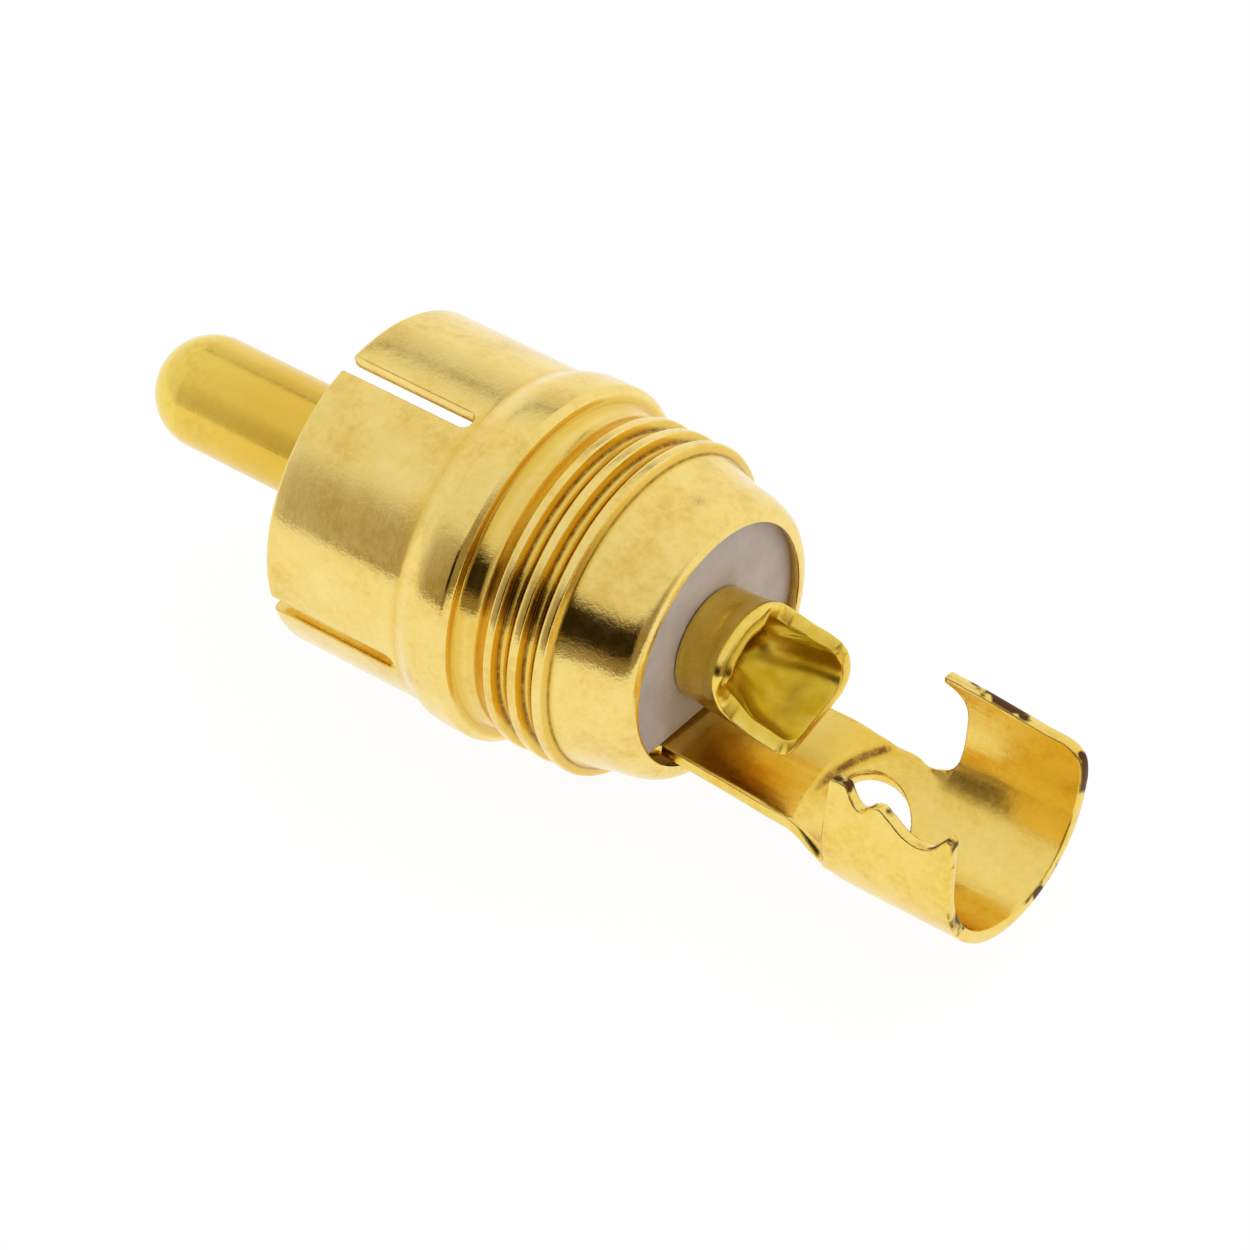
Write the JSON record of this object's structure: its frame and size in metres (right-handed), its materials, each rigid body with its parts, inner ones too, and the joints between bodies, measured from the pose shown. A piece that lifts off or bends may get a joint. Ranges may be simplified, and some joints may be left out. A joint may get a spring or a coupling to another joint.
{
  "type": "rca plug",
  "caption": "Bare coaxial phono plug: slotted contact ring on a threaded shell, round centre pin with a solder mouth, and a ground lug ending in an open crimp barrel.",
  "frame": {"origin": "on the plug's axis, at the front edge of the contact ring", "axes": "+X along the plug, from the pin's tip to the crimp barrel where the cable leaves; +Z away from the ground lug; +Y across"},
  "size_m": [0.0281, 0.01, 0.01],
  "materials": {
    "plated_shell": "polished gold plate",
    "plated_pin": "polished gold plate",
    "white_insulator": "matt",
    "grey_insulator": "matt",
    "plated_lug": "satin gold plate"
  },
  "bodies": {
    "root": {"outer_shell": "plated_shell", "center_pin": "plated_pin", "insulating_bush": "white_insulator", "rear_washer": "grey_insulator", "ground_lug": "plated_lug"}
  },
  "joints": []
}
